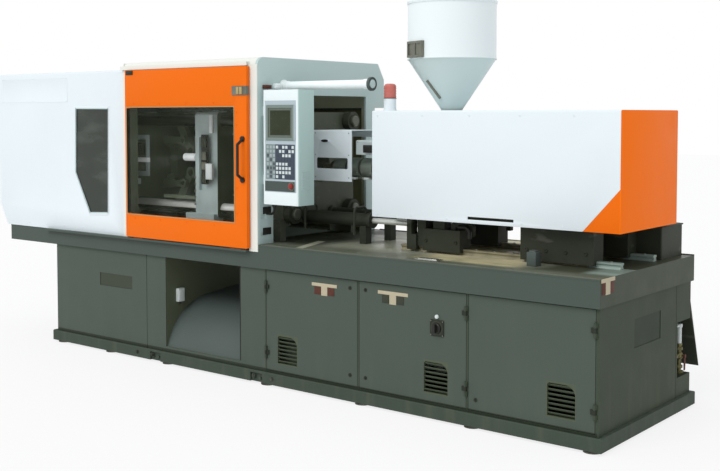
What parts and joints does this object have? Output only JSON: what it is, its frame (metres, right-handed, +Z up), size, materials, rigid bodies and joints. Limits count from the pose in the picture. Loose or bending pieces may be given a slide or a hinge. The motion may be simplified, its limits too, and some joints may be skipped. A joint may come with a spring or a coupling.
{
  "type": "injection moulding machine",
  "caption": "Horizontal toggle-clamp injection moulding machine with sliding guards, a hooded injection unit on rails, a cone hopper and a cabinet base with a discharge bay.",
  "frame": {"origin": "middle of the whole machine's bounding box, on the floor", "axes": "+X along the machine from the clamp to the injection unit, -Y the operator's side, +Z up"},
  "size_m": [5.15, 1.443, 2.4433],
  "materials": {
    "orange_paint": "satin",
    "white_paint": "satin",
    "arch_paint": "satin",
    "grey_paint": "satin",
    "plinth_paint": "satin",
    "bed_tan": "matte",
    "chute_sheet": "matte",
    "platen_iron": "machined",
    "link_iron": "satin",
    "ground_steel": "ground",
    "bar_chrome": "polished",
    "barrel_steel": "machined",
    "band_steel": "satin",
    "carriage_iron": "satin",
    "motor_paint": "satin",
    "plate_steel": "galvanised",
    "brass": "satin",
    "clear_pane": "clear",
    "dark_pane": "tinted",
    "panel_plastic": "matte",
    "red_plastic": "gloss",
    "black_plastic": "matte",
    "lamp_plastic": "gloss",
    "sight_plastic": "gloss",
    "pad_steel": "dull"
  },
  "bodies": {
    "machine_base": {"base_plinth": "plinth_paint", "levelling_pads": "pad_steel", "clamp_base": "grey_paint", "injection_base": "grey_paint", "bed_frame": "plinth_paint", "discharge_chute": "chute_sheet", "electrical_panel": "plate_steel", "pump_motor": "motor_paint", "water_manifold": "brass", "flow_meter": "sight_plastic", "water_guard": "carriage_iron", "fixed_platen": "platen_iron", "end_platen": "platen_iron", "tie_bars": "bar_chrome", "tie_bar_nuts": "ground_steel", "clamp_cylinder": "motor_paint", "nozzle_arch": "arch_paint", "mould_guard_frame": "white_paint", "clamp_cover": "white_paint", "clamp_cover_window": "dark_pane", "control_box": "white_paint", "control_face": "panel_plastic", "work_lamp": "lamp_plastic", "carriage_rails": "ground_steel", "carriage_cylinders": "motor_paint", "junction_box": "carriage_iron"},
    "front_gate_body": {"front_gate": "orange_paint", "front_gate_window": "clear_pane", "front_gate_handle": "black_plastic"},
    "rear_gate_body": {"rear_gate": "orange_paint"},
    "moving_platen_body": {"moving_platen": "platen_iron"},
    "ejector_body": {"ejector_plate": "ground_steel"},
    "crosshead_body": {"crosshead": "link_iron"},
    "rear_link_upper": {"rear_links_upper": "link_iron"},
    "rear_link_lower": {"rear_links_lower": "link_iron"},
    "front_link_upper": {"front_links_upper": "link_iron"},
    "front_link_lower": {"front_links_lower": "link_iron"},
    "cross_link_upper": {"cross_links_upper": "link_iron"},
    "cross_link_lower": {"cross_links_lower": "link_iron"},
    "injection_carriage": {"injection_housing": "carriage_iron", "barrel": "barrel_steel", "heater_bands": "band_steel", "carriage_feet": "carriage_iron", "carriage_rods": "bar_chrome", "injection_cover": "white_paint", "injection_cover_end": "orange_paint", "barrel_guard": "plate_steel", "hopper": "white_paint", "hopper_sight": "sight_plastic", "beacon_lens": "red_plastic"},
    "hopper_lid_body": {"hopper_lid": "white_paint"},
    "screw_drive_body": {"screw_drive": "carriage_iron"},
    "screw_body": {"screw": "ground_steel"},
    "purge_guard_body": {"purge_guard": "white_paint"},
    "door_1": {"cabinet_door_1": "grey_paint"},
    "door_2": {"cabinet_door_2": "grey_paint"},
    "door_3": {"cabinet_door_3": "grey_paint"},
    "switch_knob": {"main_switch_knob": "black_plastic"},
    "stop_button": {"emergency_stop": "red_plastic"},
    "valve_lever_body": {"valve_lever": "red_plastic"}
  },
  "joints": [
    {"name": "clamp_stroke", "type": "slide", "parent": "machine_base", "child": "moving_platen_body", "axis": [1, 0, 0], "range_m": [-0.05, 0.25]},
    {"name": "crosshead_slide", "type": "slide", "parent": "machine_base", "child": "crosshead_body", "axis": [1, 0, 0], "range_m": [-0.04236, 0.2038]},
    {"name": "rear_link_upper_swing", "type": "hinge", "parent": "machine_base", "child": "rear_link_upper", "pos_m": [-1.0912, -0.0165, 1.69], "axis": [0, 1, 0], "range_deg": [-57.55, 12.31]},
    {"name": "rear_link_lower_swing", "type": "hinge", "parent": "machine_base", "child": "rear_link_lower", "pos_m": [-1.0912, -0.0165, 1.03], "axis": [0, 1, 0], "range_deg": [-12.31, 57.55]},
    {"name": "front_link_upper_swing", "type": "hinge", "parent": "moving_platen_body", "child": "front_link_upper", "pos_m": [-0.706, -0.0165, 1.69], "axis": [0, 1, 0], "range_deg": [-9.74, 44.72]},
    {"name": "front_link_lower_swing", "type": "hinge", "parent": "moving_platen_body", "child": "front_link_lower", "pos_m": [-0.706, -0.0165, 1.03], "axis": [0, 1, 0], "range_deg": [-44.72, 9.74]},
    {"name": "cross_link_upper_swing", "type": "hinge", "parent": "crosshead_body", "child": "cross_link_upper", "pos_m": [-1.16366, -0.0165, 1.52], "axis": [0, 1, 0], "range_deg": [-67.93, 14.39]},
    {"name": "cross_link_lower_swing", "type": "hinge", "parent": "crosshead_body", "child": "cross_link_lower", "pos_m": [-1.16366, -0.0165, 1.2], "axis": [0, 1, 0], "range_deg": [-14.39, 67.93]},
    {"name": "ejector_slide", "type": "slide", "parent": "moving_platen_body", "child": "ejector_body", "axis": [1, 0, 0], "range_m": [0, 0.1]},
    {"name": "carriage_slide", "type": "slide", "parent": "machine_base", "child": "injection_carriage", "axis": [1, 0, 0], "range_m": [-0.1, 0.2]},
    {"name": "injection_slide", "type": "slide", "parent": "injection_carriage", "child": "screw_drive_body", "axis": [1, 0, 0], "range_m": [0, 0.2]},
    {"name": "screw_spin", "type": "hinge", "parent": "screw_drive_body", "child": "screw_body", "pos_m": [1.915, -0.0165, 1.36], "axis": [1, 0, 0], "continuous": true},
    {"name": "front_gate_slide", "type": "slide", "parent": "machine_base", "child": "front_gate_body", "axis": [-1, 0, 0], "range_m": [0, 0.95]},
    {"name": "rear_gate_slide", "type": "slide", "parent": "machine_base", "child": "rear_gate_body", "axis": [-1, 0, 0], "range_m": [0, 0.95]},
    {"name": "purge_guard_hinge", "type": "hinge", "parent": "machine_base", "child": "purge_guard_body", "pos_m": [0.4535, 0.1555, 1.584], "axis": [-1, 0, 0], "range_deg": [0, 95]},
    {"name": "hopper_lid_hinge", "type": "hinge", "parent": "injection_carriage", "child": "hopper_lid_body", "pos_m": [1.27, 0.2775, 2.381], "axis": [-1, 0, 0], "range_deg": [0, 100]},
    {"name": "cabinet_door_1_hinge", "type": "hinge", "parent": "machine_base", "child": "door_1", "pos_m": [0.27325, -0.6128, 0.415], "axis": [0, 0, -1], "range_deg": [0, 110]},
    {"name": "cabinet_door_2_hinge", "type": "hinge", "parent": "machine_base", "child": "door_2", "pos_m": [1.76175, -0.6128, 0.415], "axis": [0, 0, 1], "range_deg": [0, 110]},
    {"name": "cabinet_door_3_hinge", "type": "hinge", "parent": "machine_base", "child": "door_3", "pos_m": [2.52875, -0.6128, 0.415], "axis": [0, 0, 1], "range_deg": [0, 110]},
    {"name": "main_switch_turn", "type": "hinge", "parent": "door_2", "child": "switch_knob", "pos_m": [1.571, -0.6195, 0.521], "axis": [0, -1, 0], "range_deg": [0, 90]},
    {"name": "emergency_stop_press", "type": "slide", "parent": "machine_base", "child": "stop_button", "axis": [0, 1, 0], "range_m": [0, 0.005]},
    {"name": "valve_lever_turn", "type": "hinge", "parent": "machine_base", "child": "valve_lever_body", "pos_m": [2.535, 0.5315, 0.3], "axis": [-1, 0, 0], "range_deg": [0, 90]}
  ],
  "couplings": [
    {"joint": "crosshead_slide", "follows": "clamp_stroke", "ratio": 0.8072},
    {"joint": "rear_link_upper_swing", "follows": "clamp_stroke", "rad_per_m": -3.9478},
    {"joint": "rear_link_lower_swing", "follows": "clamp_stroke", "rad_per_m": 3.9478},
    {"joint": "front_link_upper_swing", "follows": "clamp_stroke", "rad_per_m": 3.0521},
    {"joint": "front_link_lower_swing", "follows": "clamp_stroke", "rad_per_m": -3.0521},
    {"joint": "cross_link_upper_swing", "follows": "clamp_stroke", "rad_per_m": -4.6729},
    {"joint": "cross_link_lower_swing", "follows": "clamp_stroke", "rad_per_m": 4.6729}
  ]
}
